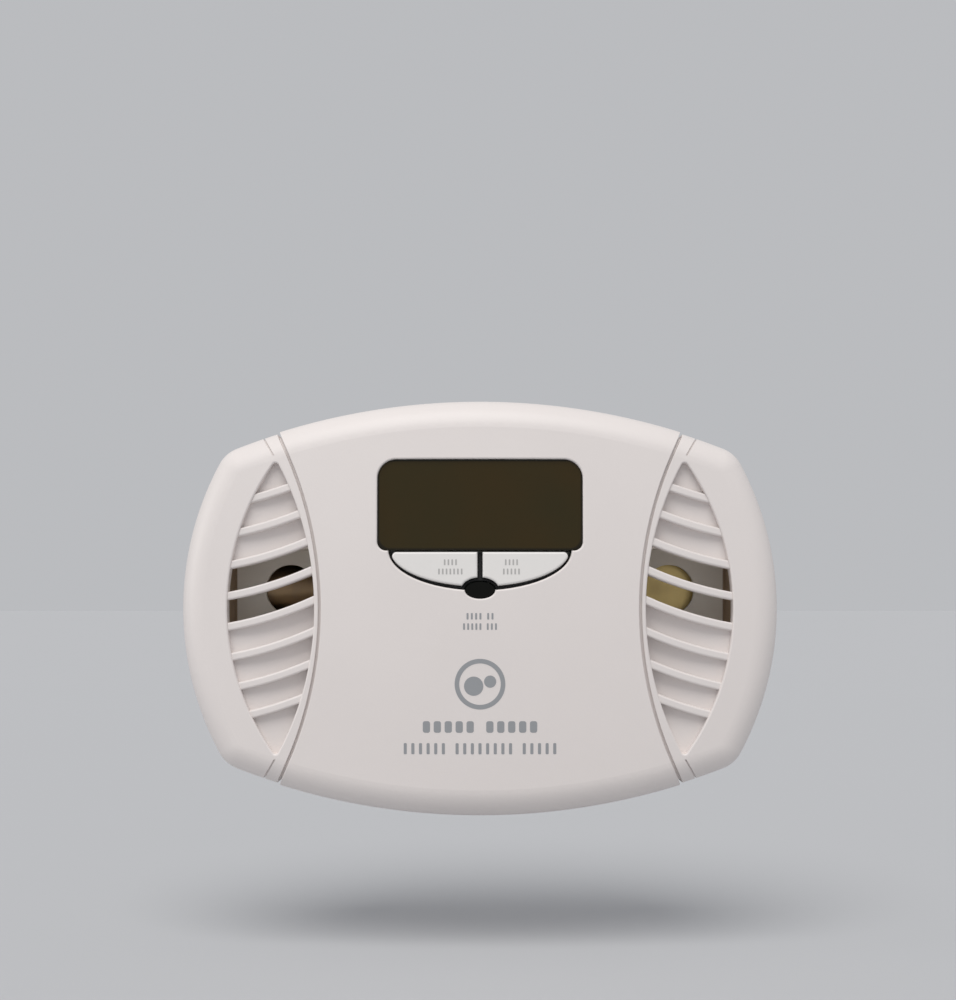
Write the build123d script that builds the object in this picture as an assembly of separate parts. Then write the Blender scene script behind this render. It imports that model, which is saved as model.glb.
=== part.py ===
"""Plug-in carbon monoxide alarm with a digital display and two AA backup cells.

Millimetres. +X is right and +Z is up, seen from the front; the front faces -Y.
The origin is on the flat back face that rests on the outlet's cover plate.
A depth is a distance from that back face towards the front, so it is -Y.
"""
from build123d import *
import os

# ---- driving dimensions -------------------------------------------------
WIDTH, HEIGHT, DEPTH = 142.0, 97.6, 40.0
TOP_ARC, SIDE_ARC, CORNER = 165.0, 73.0, 8.0   # the outline's arcs and its corners
CROWN = 430.0                                  # sphere that the front face is part of
RIM_ROUND = 7.0
WALL, BACK_WALL = 2.0, 2.2
SEAM = 19.0                                    # depth where the two shells meet
BACK_INSET, BACK_ROUND = 6.0, 2.5
PANEL_STEP = 0.35                              # the centre panel stands proud by this
LAP = 1.5                                      # height of the tongue at the seam
FREE = 0.1                                     # clearance between fitted pieces

# side grilles: a leaf between two arcs, crossed by swept slats
LEAF_OUTER_X, LEAF_OUTER_ARC = -59.5, 58.7
RIB_X, RIB_ARC = -38.8, 71.0
GROOVE_X, GROOVE_ARC, GROOVE, GROOVE_DEEP = -37.85, 88.0, 0.7, 1.0
TIP_GROOVE, TIP_GROOVE_DEEP = 0.4, 0.45        # grooves from the leaf's tips to the rim
LEAF_FLOOR = DEPTH - 6.3
FLOOR_THICK = 1.8
LEAF_TIP, LEAF_EDGE, SLAT_EDGE = 0.8, 0.4, 0.45   # roundings of the leaf's tips and edges
GROOVE_EDGE, OPENING_EDGE, SEAM_EDGE = 0.15, 0.4, 0.3
SLAT_ARC, SLAT_CENTRE = 84.5, (-73.7, 86.2)
SLAT_PITCH, SLAT_WIDTH, SLAT_SINK = 7.25, 1.9, 0.5
SLATS = range(-4, 4)                           # 0 is the bar between the two open slots

# display, buttons and light
WINDOW_X, WINDOW_LOW, WINDOW_HIGH = 24.0, 13.5, 34.9
WINDOW_TOP_CORNER, WINDOW_LOW_CORNER = 4.5, 2.1
WELL_Z, WELL_X_RADIUS, WELL_Z_RADIUS, WELL_TOP = 13.6, 21.4, 9.4, 13.5
BUTTON_GAP, BUTTON_SIDE_GAP, BUTTON_TOP_GAP, LIGHT_GAP = 0.95, 0.5, 0.35, 0.9
BUTTON_SPLIT, BUTTON_TRAVEL, BUTTON_EDGE, BUTTON_CORNER = 0.6, 0.8, 0.5, 1.0
SEAL_THICK, SEAL_FREE = 0.5, 0.2
LIGHT_Z, LIGHT_X_RADIUS, LIGHT_Z_RADIUS = 4.3, 3.55, 2.05
SWITCH_X, SWITCH_Z = 10.5, 8.0

# circuit board and its stack
BOARD_X, BOARD_LOW, BOARD_HIGH = 36.0, -32.0, 38.0
BOARD_BACK, BOARD_FRONT = 20.0, 21.6
BOARD_SCREWS = [(-33.0, 34.5), (33.0, 34.5), (-33.0, -28.5), (33.0, -28.5)]
CASE_SCREWS = [(-53.0, 24.0), (53.0, 24.0), (-53.0, -24.0), (53.0, -24.0)]
GLASS_BACK, GLASS_FRONT = 32.2, 34.4

# battery bay, cells and door
CELL_LENGTH, CELL_RADIUS = 50.5, 7.2
CELL_Z, CELL_DEPTH = (-12.9, -28.1), 9.8
BAY_X, BAY_LOW, BAY_HIGH, BAY_FLOOR, BAY_WALL = 28.4, -35.8, -5.2, 17.2, 1.2
DOOR_X, DOOR_LOW, DOOR_HIGH, DOOR_THICK = 29.4, -37.2, -3.4, 2.0
DOOR_FREE = 0.2
HINGE_RADIUS, HINGE_PIN, HINGE_PIN_LENGTH, HINGE_FREE = 1.6, 0.9, 1.6, 0.08
HINGE_Z = DOOR_HIGH - HINGE_RADIUS
TAB_X, TAB_DROP = 6.5, 1.9

# plug
PLUG_Z, BLADE_SPACING, BLADE_THICK = 15.5, 12.7, 1.5
LINE_WIDTH, NEUTRAL_WIDTH, BLADE_OUT, BLADE_IN = 6.35, 7.9, 17.5, 13.0
BLADE_HOLE_RADIUS, BLADE_HOLE_OUT = 1.6, 11.7
PLUG_X, PLUG_HALF_HEIGHT, PLUG_IN = 12.5, 10.5, 8.0

# sensor on the left, horn on the right, each behind a chamber
PORT_X, PORT_Z, PORT_RADIUS = 46.3, 4.6, 6.1
CHAMBER_X, CHAMBER_LOW, CHAMBER_HIGH = (37.2, 61.2), -6.4, 15.4
CHAMBER_BACK, CHAMBER_WALL = 17.0, 1.2
SENSOR_RADIUS, SENSOR_DEPTH = 7.0, 9.6
HORN_RADIUS, HORN_BACK = 14.0, 7.0
HORN_X, HORN_Z = 48.0, 4.4

# sides and heights where a contact's tab leaves the battery bay
TABS = [(1, CELL_Z[0]), (1, CELL_Z[1])]

# blank labels on the back: centre, width and height
LABELS = [(35.0, 19.0, 22.0, 26.0), (-34.0, 24.0, 20.0, 14.0)]


# ---- helpers ------------------------------------------------------------
def prism(sketch, start, end):
    """Extrudes a sketch, drawn in X and Z, between two depths."""
    return extrude(Plane.XZ.offset(start) * sketch, end - start)


def rod(x, z, radius, start, end):
    """A round rod along the depth."""
    return prism(Pos(x, z) * Circle(radius), start, end)


def cross_rod(x_start, x_end, depth, z, radius):
    """A round rod along X."""
    return extrude(Plane.YZ.offset(x_start) * Pos(-depth, z) * Circle(radius), x_end - x_start)


def block(x_low, x_high, z_low, z_high, start, end):
    """A box between two corners and two depths."""
    size = (x_high - x_low, end - start, z_high - z_low)
    return Pos((x_low + x_high) / 2, -(start + end) / 2, (z_low + z_high) / 2) * Box(*size)


def mirrored(shape):
    """The same shape on the other side of the middle plane."""
    return mirror(shape, Plane.YZ)


def outline(inset):
    """The alarm's outline, moved inwards by an inset."""
    top = Pos(0, HEIGHT / 2 - TOP_ARC) * Circle(TOP_ARC - inset)
    right = Pos(WIDTH / 2 - SIDE_ARC, 0) * Circle(SIDE_ARC - inset)
    shape = top & mirror(top, Plane.XZ) & right & mirror(right, Plane.YZ)
    return fillet(shape.vertices(), max(CORNER - inset, BACK_ROUND))


def ball(inset):
    """The sphere under the front face, at an inset below it."""
    return Pos(0, CROWN - DEPTH, 0) * Sphere(CROWN - inset)


def form(inset):
    """The front shell's solid form, at an inset below its surface."""
    solid = prism(outline(inset), SEAM, DEPTH + 2) & ball(inset)
    front = solid.faces().sort_by(Axis.Y)[0]
    solid = fillet(front.edges(), RIM_ROUND - inset)
    if inset > 0:
        return solid
    return chamfer(solid.faces().sort_by(Axis.Y)[-1].edges(), SEAM_EDGE)


def left_of(x, radius):
    """The disc whose rightmost point is at x."""
    return Pos(x - radius, 0) * Circle(radius)


def leaf(grow=0.0):
    """The left grille's leaf-shaped region."""
    outer = Pos(LEAF_OUTER_X + LEAF_OUTER_ARC, 0) * Circle(LEAF_OUTER_ARC + grow)
    shape = outer & left_of(RIB_X + grow, RIB_ARC + grow)
    return fillet(shape.vertices(), LEAF_TIP + grow)


def slat_disc(number, offset):
    """The disc that a slat's centre line is part of, grown by an offset."""
    x, z = SLAT_CENTRE
    return Pos(x, z + number * SLAT_PITCH) * Circle(SLAT_ARC + offset)


def slat(number):
    """One slat, swept across the leaf, with its two long front edges rounded."""
    half = SLAT_WIDTH / 2
    strip = (slat_disc(number, half) - slat_disc(number, -half)) & leaf(0.4)
    solid = prism(strip, LEAF_FLOOR - FLOOR_THICK, DEPTH + 2) & ball(SLAT_SINK)
    front = solid.faces().sort_by(Axis.Y)[0]
    return fillet([edge for edge in front.edges() if edge.length > 3], SLAT_EDGE)


def window(grow=0.0):
    """The display's opening, with larger corners at the top."""
    height = WINDOW_HIGH - WINDOW_LOW + 2 * grow
    middle = (WINDOW_HIGH + WINDOW_LOW) / 2
    shape = Pos(0, middle) * Rectangle(2 * (WINDOW_X + grow), height)
    ends = shape.vertices().group_by(Axis.Y)
    shape = fillet(ends[-1], WINDOW_TOP_CORNER + grow)
    return fillet(shape.vertices().group_by(Axis.Y)[0], WINDOW_LOW_CORNER + grow)


def button_well(side_gap=0.0, low_gap=0.0, top_gap=0.0):
    """The half-oval opening for both buttons, made smaller by its gaps."""
    oval = Pos(0, WELL_Z) * Ellipse(WELL_X_RADIUS - side_gap, WELL_Z_RADIUS - low_gap)
    return oval & Pos(0, WELL_TOP - 25 - top_gap) * Rectangle(60, 50)


def light_oval(grow=0.0):
    """The oval of the indicator light."""
    return Pos(0, LIGHT_Z) * Ellipse(LIGHT_X_RADIUS + grow, LIGHT_Z_RADIUS + grow)


def rounded_block(x, z, width, height, start, end, corner):
    """An upright box with rounded corners, centred on x and z."""
    return prism(Pos(x, z) * RectangleRounded(width, height, corner), start, end)


# ---- front shell and what shows in it ------------------------------------
def both(shape):
    """A left-hand shape with its mirror image."""
    return shape + mirrored(shape)


def grille():
    """The left grille's pocket, the slots through its floor, its slats and its groove."""
    pocket = prism(leaf(), LEAF_FLOOR, DEPTH + 2)
    open_strip = slat_disc(-1, -SLAT_WIDTH / 2) - slat_disc(1, SLAT_WIDTH / 2)
    slots = prism(open_strip & leaf(), LEAF_FLOOR - FLOOR_THICK - 1, LEAF_FLOOR + 1)
    slats = Part() + [slat(number) for number in SLATS]
    groove_ring = left_of(GROOVE_X + GROOVE, GROOVE_ARC + GROOVE) - left_of(GROOVE_X, GROOVE_ARC)
    groove = prism(groove_ring, SEAM + 2, DEPTH + 2) - form(GROOVE_DEEP)
    half = TIP_GROOVE / 2
    tip_ring = left_of(RIB_X + half, RIB_ARC + half) - left_of(RIB_X - half, RIB_ARC - half)
    tips = tip_ring & (Pos(-50, -40) * Rectangle(20, 9) + Pos(-50, 38.5) * Rectangle(20, 5))
    groove = groove + (prism(tips, SEAM + 6, DEPTH + 2) - form(TIP_GROOVE_DEEP))
    return pocket, slots, slats, groove


def front_cover():
    """The front shell: panel, side grilles, window, button well, rim and bosses."""
    arch = left_of(GROOVE_X + GROOVE / 2, GROOVE_ARC + GROOVE / 2)
    panel_area = Rectangle(WIDTH + 10, HEIGHT + 10) - arch - mirror(arch, Plane.YZ)
    outer = form(0) + (form(-PANEL_STEP) & prism(panel_area, SEAM, DEPTH + 2))
    leaf_back = LEAF_FLOOR - FLOOR_THICK
    leaf_case = prism(leaf(FLOOR_THICK), leaf_back, DEPTH + 2)
    cavity = form(WALL) - both(leaf_case)
    rebate = prism(outline(WALL / 2), SEAM, SEAM + LAP + FREE)
    shell = outer - cavity - rebate

    window_back = GLASS_FRONT + 1.3
    surround = prism(window(2.2), window_back, DEPTH) & ball(WALL / 2)
    case_bosses = [rod(x, z, 3.4, SEAM, leaf_back + 1) for x, z in CASE_SCREWS]
    board_bosses = [rod(x, z, 2.7, BOARD_FRONT, DEPTH) & ball(WALL / 2) for x, z in BOARD_SCREWS]
    shell = shell + surround + case_bosses + board_bosses

    pocket, slots, slats, groove = grille()
    shell = shell - both(pocket) - both(slots) - both(groove)
    shell = shell + both(slats)

    opening = window() + button_well() + light_oval()
    shell = shell - prism(opening, SEAM, DEPTH + 2)
    pilots = [rod(x, z, 1.47, SEAM, SEAM + 8.5) for x, z in CASE_SCREWS]
    pilots += [rod(x, z, 1.02, BOARD_FRONT, BOARD_FRONT + 7) for x, z in BOARD_SCREWS]
    return round_front_edges(shell - pilots)


def front_edges(shell, low_x, high_x, low_z, high_z):
    """The shell's edges on its front surface whose middles lie in a range of |X| and of Z."""
    centre = Vector(0, CROWN - DEPTH, 0)
    found = []
    for edge in shell.edges():
        middle = edge @ 0.5
        reach = [((edge @ u) - centre).length - CROWN for u in (0.05, 0.5, 0.95)]
        on_front = all(min(abs(r), abs(r - PANEL_STEP)) < 0.02 for r in reach)
        if on_front and low_x < abs(middle.X) < high_x and low_z < middle.Z < high_z:
            found.append(edge)
    return found


def round_front_edges(shell):
    """Rounds the front edges of the openings, the grilles and the grooves."""
    shell = fillet(front_edges(shell, -1, 25, -2, 36.5), OPENING_EDGE)
    grille_edges = front_edges(shell, 59.3, 59.7, -1, 1) + front_edges(shell, 38.7, 38.9, -1, 1)
    grille_edges += front_edges(shell, 47.8, 48.2, -36, 36)
    shell = fillet(grille_edges, LEAF_EDGE)
    return fillet(front_edges(shell, 37.0, 38.0, -1, 1), GROOVE_EDGE)


def display_lens():
    """The tinted window: a plug that fills the opening, and a flange behind it."""
    plug = prism(window(-FREE), GLASS_FRONT + 0.2, DEPTH + 2) & ball(0.45)
    flange = prism(window(1.6), GLASS_FRONT + 0.2, GLASS_FRONT + 1.3)
    keep = prism(Pos(0, WINDOW_LOW + 25 + FREE) * Rectangle(80, 50), SEAM, DEPTH + 2)
    return (plug + flange) & keep


def cap_face(side, grow=0.0):
    """A button cap's outline in X and Z; side is -1 or 1."""
    half = Pos(side * (25 + BUTTON_SPLIT - grow), 0) * Rectangle(50, 60)
    oval = button_well(BUTTON_SIDE_GAP - grow, BUTTON_GAP - grow, BUTTON_TOP_GAP - grow)
    return (oval & half) - light_oval(LIGHT_GAP - grow)


def button(side):
    """A button cap, its retaining flange, and its stem down to the switch; side is -1 or 1."""
    cap = prism(cap_face(side), DEPTH - 4.0, DEPTH + 2) & ball(-PANEL_STEP - 0.15)
    tip = [edge for edge in cap.edges().filter_by(Axis.Y) if abs((edge @ 0.5).X) > 18]
    cap = fillet(tip, BUTTON_CORNER)
    cap = fillet(cap.faces().sort_by(Axis.Y)[0].edges(), BUTTON_EDGE)
    half = Pos(side * (25 + BUTTON_SPLIT), 0) * Rectangle(50, 60)
    flange_area = (button_well(-1.0, -1.0) & half) - light_oval(LIGHT_GAP)
    flange_area = flange_area & Pos(0, WELL_TOP - 32.5) * Rectangle(60, 60)
    flange = prism(flange_area, DEPTH - 4.4, DEPTH - 3.5)
    x = side * SWITCH_X
    stem = block(x - 2.2, x + 2.2, SWITCH_Z - 1.1, SWITCH_Z + 1.1, 26.6, DEPTH - 3)
    rib = block(x - 0.8, x + 0.8, SWITCH_Z - 2.4, SWITCH_Z + 2.4, 28.5, DEPTH - 3)
    return cap + flange + stem + rib


def button_seal():
    """The thin dark seal behind the front wall that closes the gap round the buttons."""
    area = button_well(-1.0, -1.0, 2.4) + Pos(0, 11.9) * Rectangle(3, 2.4)
    area = area - cap_face(-1, SEAL_FREE) - cap_face(1, SEAL_FREE) - light_oval(SEAL_FREE)
    return (prism(area, DEPTH - 6, DEPTH) & ball(WALL)) - ball(WALL + SEAL_THICK)


def indicator_lens():
    """The smoked oval light pipe below the buttons."""
    head = prism(light_oval(-FREE), 33.0, DEPTH + 2) & ball(0.5)
    lip = light_oval(1.2) & Pos(0, 3.3 - 10) * Rectangle(20, 20)
    return head + prism(lip, 36.4, 37.9) + rod(0, LIGHT_Z, 1.7, 28.0, 33.5)


# ---- rear shell, battery door and plug -------------------------------------
def tapered(inset_front, inset_back, front, back):
    """A solid between the outline at two insets and two depths."""
    faces = [Plane.XZ.offset(back) * outline(inset_back), Plane.XZ.offset(front) * outline(inset_front)]
    return loft(faces, ruled=True)


def rear_housing():
    """The rear shell with its tongue, posts, battery bay, hinge sockets and plug opening."""
    outer = tapered(0, BACK_INSET, SEAM, 0)
    outer = fillet(outer.faces().sort_by(Axis.Y)[-1].edges(), BACK_ROUND)
    outer = outer - prism(outline(-1) - outline(SEAM_EDGE), SEAM - SEAM_EDGE, SEAM + 1)
    inner_inset = BACK_INSET * (1 - BACK_WALL / SEAM) + WALL
    shell = outer - tapered(WALL, inner_inset, SEAM, BACK_WALL)
    shell = shell + prism(outline(WALL / 2 + FREE) - outline(WALL), SEAM - 1, SEAM + LAP)

    posts = [rod(x, z, 4.2, 1.0, SEAM) for x, z in CASE_SCREWS]
    posts += [rod(-x, z, 1.4, 1.0, CHAMBER_BACK) for x in (38.8, 59.5) for z in (-4.9, 13.9)]
    bay_outer = block(-BAY_X - BAY_WALL, BAY_X + BAY_WALL, BAY_LOW - BAY_WALL, BAY_HIGH + BAY_WALL,
                      1.0, BAY_FLOOR + BAY_WALL)
    frame = block(-31.2, 31.2, -39.0, DOOR_HIGH + 1.6, 1.0, 3.9) + block(-9, 9, -43.0, -38, 1.0, 3.9)
    frame = frame & tapered(1.0, BACK_INSET + 1.0, SEAM, 0)
    hinge_blocks = [block(side * 31.4 - 1.7, side * 31.4 + 1.7, HINGE_Z - 3, HINGE_Z + 3, 1.0, 4.4)
                    for side in (-1, 1)]
    cradles = [block(x - 0.8, x + 0.8, PORT_Z - 8.5, PORT_Z + 8.5, 1.0, SENSOR_DEPTH - 2)
               for x in (-55.0, -37.0)]
    sensor_seat = cross_rod(-60.5, -31, SENSOR_DEPTH, PORT_Z, SENSOR_RADIUS + FREE)
    horn_ring = rod(HORN_X, HORN_Z, HORN_RADIUS - 1, 1.0, HORN_BACK) - rod(
        HORN_X, HORN_Z, HORN_RADIUS - 2.5, 1.0, HORN_BACK)
    shell = shell + posts + bay_outer + frame + hinge_blocks + (Part() + cradles - sensor_seat)
    shell = shell + horn_ring

    bay = block(-BAY_X, BAY_X, BAY_LOW, BAY_HIGH, -1, BAY_FLOOR)
    door_width = 2 * (DOOR_X + DOOR_FREE)
    seat = block(-door_width / 2, door_width / 2, DOOR_LOW - DOOR_FREE, DOOR_HIGH + DOOR_FREE,
                 -1, DOOR_THICK + FREE)
    tab_slot = block(-TAB_X - DOOR_FREE, TAB_X + DOOR_FREE, DOOR_LOW - TAB_DROP - DOOR_FREE, DOOR_LOW,
                     -1, DOOR_THICK + FREE)
    scoop = Pos(0, 3.4, DOOR_LOW - TAB_DROP) * Sphere(5.2)
    knuckle_room = cross_rod(-door_width / 2, door_width / 2, HINGE_RADIUS, HINGE_Z,
                             HINGE_RADIUS + DOOR_FREE)
    pin_hole = cross_rod(-DOOR_X - HINGE_PIN_LENGTH - 0.15, DOOR_X + HINGE_PIN_LENGTH + 0.15,
                         HINGE_RADIUS, HINGE_Z, HINGE_PIN + HINGE_FREE)
    plug_opening = block(-PLUG_X - FREE, PLUG_X + FREE, PLUG_Z - PLUG_HALF_HEIGHT - FREE,
                         PLUG_Z + PLUG_HALF_HEIGHT + FREE, -1, 6)
    labels = [rounded_block(x, z, w + 0.4, h + 0.4, -1, 0.2, 1.2) for x, z, w, h in LABELS]
    tabs = [block(side * 28.15 - 0.35, side * 28.15 + 0.35, z - 2.0, z + 2.0, 16, 19)
            for side, z in TABS]
    shell = shell - bay - seat - tab_slot - scoop - knuckle_room - pin_hole - plug_opening
    shell = shell - labels - tabs
    for x, z in CASE_SCREWS:
        shell = shell - rod(x, z, 3.0, -1, 3.4) - rod(x, z, 1.65, -1, SEAM + 1)
    return shell


def battery_door():
    """The door: plate, hinge knuckle with its two pins, latch tab and grip ridges."""
    plate = block(-DOOR_X, DOOR_X, DOOR_LOW, HINGE_Z, 0, DOOR_THICK)
    knuckle = cross_rod(-DOOR_X, DOOR_X, HINGE_RADIUS, HINGE_Z, HINGE_RADIUS)
    pins = cross_rod(-DOOR_X - HINGE_PIN_LENGTH, DOOR_X + HINGE_PIN_LENGTH, HINGE_RADIUS, HINGE_Z,
                     HINGE_PIN)
    tab = block(-TAB_X, TAB_X, DOOR_LOW - TAB_DROP, DOOR_LOW + 1, 0, DOOR_THICK)
    door = plate + knuckle + pins + tab
    slots = [block(x - 0.6, x + 0.6, DOOR_LOW - TAB_DROP - 1, DOOR_LOW + 7, -1, DOOR_THICK + 1)
             for x in (-TAB_X - 0.8, TAB_X + 0.8)]
    grips = [block(-4.5, 4.5, DOOR_LOW + 0.4 + 1.6 * i, DOOR_LOW + 1.2 + 1.6 * i, -0.5, 0.45)
             for i in range(4)]
    cell_ribs = [block(x - 0.7, x + 0.7, DOOR_LOW + 3.5, HINGE_Z - 3.6, DOOR_THICK - 0.2, 2.45)
                 for x in (-18.0, 18.0)]
    return door - slots - grips + cell_ribs


def plug_insert():
    """The moulded block that holds the blades, with a flange inside the back wall."""
    z_low, z_high = PLUG_Z - PLUG_HALF_HEIGHT, PLUG_Z + PLUG_HALF_HEIGHT
    body = rounded_block(0, PLUG_Z, 2 * PLUG_X, z_high - z_low, 0, PLUG_IN, 0.6)
    flange = rounded_block(0, PLUG_Z, 2 * PLUG_X + 4, z_high - z_low + 1.6, BACK_WALL, BACK_WALL + 1.6, 1.5)
    pocket = rounded_block(0, PLUG_Z, 2 * PLUG_X - 4, z_high - z_low - 5, PLUG_IN - 2.5, PLUG_IN + 1, 1)
    insert = body + flange - pocket
    for side, width in ((-1, NEUTRAL_WIDTH), (1, LINE_WIDTH)):
        x = side * BLADE_SPACING / 2
        half = BLADE_THICK / 2
        insert = insert - block(x - half, x + half, PLUG_Z - width / 2, PLUG_Z + width / 2, -1, 20)
    return insert


def plug_blade(side, width):
    """One flat blade with its holding hole, chamfered tip and narrow solder tail."""
    x = side * BLADE_SPACING / 2
    half = BLADE_THICK / 2
    blade = block(x - half, x + half, PLUG_Z - width / 2, PLUG_Z + width / 2, -BLADE_OUT, PLUG_IN - 1)
    tip = blade.faces().sort_by(Axis.Y)[-1]
    blade = chamfer(tip.edges(), 0.5)
    tail = block(x - half, x + half, PLUG_Z - 1.6, PLUG_Z + 1.6, PLUG_IN - 1, BLADE_IN)
    hole = cross_rod(x - 2, x + 2, -BLADE_HOLE_OUT, PLUG_Z, BLADE_HOLE_RADIUS)
    eye = cross_rod(x - 2, x + 2, BLADE_IN - 1.8, PLUG_Z, 0.8)
    return blade + tail - hole - eye


def screw(x, z, head_depth, head_radius, head_height, radius, length):
    """A pan-head screw driven from the back, with a cross recess."""
    head = rod(x, z, head_radius, head_depth - head_height, head_depth)
    rim = head.edges().filter_by(GeomType.CIRCLE).sort_by(Axis.Y)[-1]
    head = fillet(rim, head_height * 0.45)
    arm, across = head_radius * 0.62, head_radius * 0.17
    depth = head_height * 0.62
    cross = block(x - arm, x + arm, z - across, z + across, head_depth - head_height - 1,
                  head_depth - head_height + depth)
    cross = cross + block(x - across, x + across, z - arm, z + arm, head_depth - head_height - 1,
                          head_depth - head_height + depth)
    shank = rod(x, z, radius, head_depth, head_depth + length)
    point = shank.edges().filter_by(GeomType.CIRCLE).sort_by(Axis.Y)[0]
    return head - cross + chamfer(point, radius * 0.45)


# ---- circuit board and what stands on its front -----------------------------
def circuit_board():
    """The board with its four screw holes and a notch over the battery contacts."""
    middle = (BOARD_LOW + BOARD_HIGH) / 2
    board = rounded_block(0, middle, 2 * BOARD_X, BOARD_HIGH - BOARD_LOW, BOARD_BACK, BOARD_FRONT, 2.5)
    holes = [rod(x, z, 1.3, BOARD_BACK - 1, BOARD_FRONT + 1) for x, z in BOARD_SCREWS]
    return board - holes


def display_holder():
    """The frame that carries the display glass above the board."""
    body = rounded_block(0, 24.6, 56, 26.4, BOARD_FRONT, GLASS_FRONT, 1.5)
    glass_seat = block(-25.2, 25.2, 12.2, 36.6, GLASS_BACK, GLASS_FRONT + 1)
    light_seat = block(-24.0, 24.0, 15.2, 36.0, 29.5, GLASS_BACK + 1)
    hollow = block(-22.5, 22.5, 16.5, 34.7, BOARD_FRONT - 1, 30)
    strip_slot = block(-22.2, 22.2, 12.5, 14.3, BOARD_FRONT - 1, GLASS_BACK + 1)
    return body - glass_seat - light_seat - hollow - strip_slot


def lcd_glass():
    """The display's two glass plates, the rear one longer for its contacts."""
    return block(-25, 25, 12.4, 36.4, GLASS_BACK, 33.3) + block(-25, 25, 14.4, 36.4, 33.3, GLASS_FRONT)


def tact_switch(side):
    """A switch body with four feet and a bore for its plunger."""
    x = side * SWITCH_X
    body = block(x - 3, x + 3, SWITCH_Z - 3, SWITCH_Z + 3, BOARD_FRONT, 25.2)
    body = chamfer(body.faces().sort_by(Axis.Y)[0].edges(), 0.3)
    feet = [block(x + i * 3.5 - 0.6, x + i * 3.5 + 0.6, SWITCH_Z + j * 2.2 - 0.4, SWITCH_Z + j * 2.2 + 0.4,
                  BOARD_FRONT, BOARD_FRONT + 0.4) for i in (-1, 1) for j in (-1, 1)]
    return body + feet - rod(x, SWITCH_Z, 1.75, 23.0, 26)


def switch_plunger(side):
    """The plunger under a button's stem."""
    return rod(side * SWITCH_X, SWITCH_Z, 1.65, 24.0, 26.6)


def status_led():
    """A round light source with a domed end."""
    body = rod(0, LIGHT_Z, 1.5, BOARD_FRONT, 25.6) + rod(0, LIGHT_Z, 1.9, BOARD_FRONT, BOARD_FRONT + 1)
    return body + Pos(0, -25.6, LIGHT_Z) * Sphere(1.5)


def leaded_chip(x, z, width, height, thick, pins, pitch, along_x):
    """A flat integrated circuit with leads along two opposite sides."""
    body = block(x - width / 2, x + width / 2, z - height / 2, z + height / 2,
                 BOARD_FRONT + 0.15, BOARD_FRONT + thick)
    chip = chamfer(body.faces().sort_by(Axis.Y)[0].edges(), 0.25)
    reach = (height if along_x else width) / 2
    for i in range(pins):
        offset = (i - (pins - 1) / 2) * pitch
        for side in (-1, 1):
            centre = side * (reach + 0.45)
            px, pz = (x + offset, z + centre) if along_x else (x + centre, z + offset)
            half_x, half_z = (0.2, 0.65) if along_x else (0.65, 0.2)
            chip = chip + block(px - half_x, px + half_x, pz - half_z, pz + half_z,
                                BOARD_FRONT, BOARD_FRONT + 0.4)
    return chip


def chip_components():
    """Small rectangular resistors and capacitors on the board's front."""
    places = [(-30, -4), (-30, -8), (-30, -12), (-26, -4), (-26, -22), (-22, -22), (-18, -22), (-4, -6),
              (-4, -10), (-4, -14), (2, -20), (6, -20), (10, -20), (20, -6), (20, -10), (24, -6),
              (24, -10), (28, -16), (28, -20), (20, 3), (24, 3), (-20, 3), (-24, 3)]
    return [block(x - 1.0, x + 1.0, z - 0.6, z + 0.6, BOARD_FRONT, BOARD_FRONT + 0.6) for x, z in places]


# ---- parts on the board's back ------------------------------------------------
def transformer():
    """The transformer: a split ferrite core, and the bobbin with its winding inside."""
    x, z = 25.5, 22.5
    core = block(x - 8, x + 8, z - 8, z + 8, 9.0, 16.0)
    core = core - block(x - 5.8, x - 2.2, z - 9, z + 9, 7.0, 18.0)
    core = core - block(x + 2.2, x + 5.8, z - 9, z + 9, 7.0, 18.0)
    core = core + block(x - 8, x + 8, z + 5.2, z + 8, 9.0, 16.0)
    core = core + block(x - 8, x + 8, z - 8, z - 5.2, 9.0, 16.0)
    limb = block(x - 2.3, x + 2.3, z - 5.1, z + 5.1, 8.9, 16.1)
    winding = block(x - 5.7, x + 5.7, z - 4.2, z + 4.2, 7.6, 17.4)
    winding = fillet(winding.edges().filter_by(Axis.Z), 1.5)
    flanges = [block(x - 5.7, x + 5.7, z + i * 4.65 - 0.45, z + i * 4.65 + 0.45, 7.2, 17.8)
               for i in (-1, 1)]
    feet = [block(x - 7, x + 7, z + i * 6.6 - 1.2, z + i * 6.6 + 1.2, 16.0, BOARD_BACK) for i in (-1, 1)]
    links = [block(x - 5.7, x + 5.7, z + i * 4.8 - 0.6, z + i * 4.8 + 0.8, 16.0, 18.4) for i in (-1, 1)]
    bobbin = winding + flanges + feet + links - limb
    return core, bobbin


def film_capacitor():
    """A boxed film capacitor."""
    box = block(-28, -16, 28.5, 34.5, 9.5, BOARD_BACK)
    return fillet(box.edges().filter_by(Axis.Y) + box.faces().sort_by(Axis.Y)[-1].edges(), 0.6)


def electrolytic(x, z, radius, height):
    """A can capacitor with a crimp groove and a rounded end."""
    can = rod(x, z, radius, BOARD_BACK - height, BOARD_BACK)
    can = fillet(can.edges().filter_by(GeomType.CIRCLE).sort_by(Axis.Y)[-1], 0.7)
    ring = rod(x, z, radius + 1, BOARD_BACK - 2.2, BOARD_BACK - 1.4)
    ring = ring - rod(x, z, radius - 0.35, BOARD_BACK - 3, BOARD_BACK)
    score = block(x - radius, x + radius, z - 0.15, z + 0.15, 0, BOARD_BACK - height + 0.25)
    score = score + block(x - 0.15, x + 0.15, z - radius, z + radius, 0, BOARD_BACK - height + 0.25)
    return can - ring - score


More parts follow.
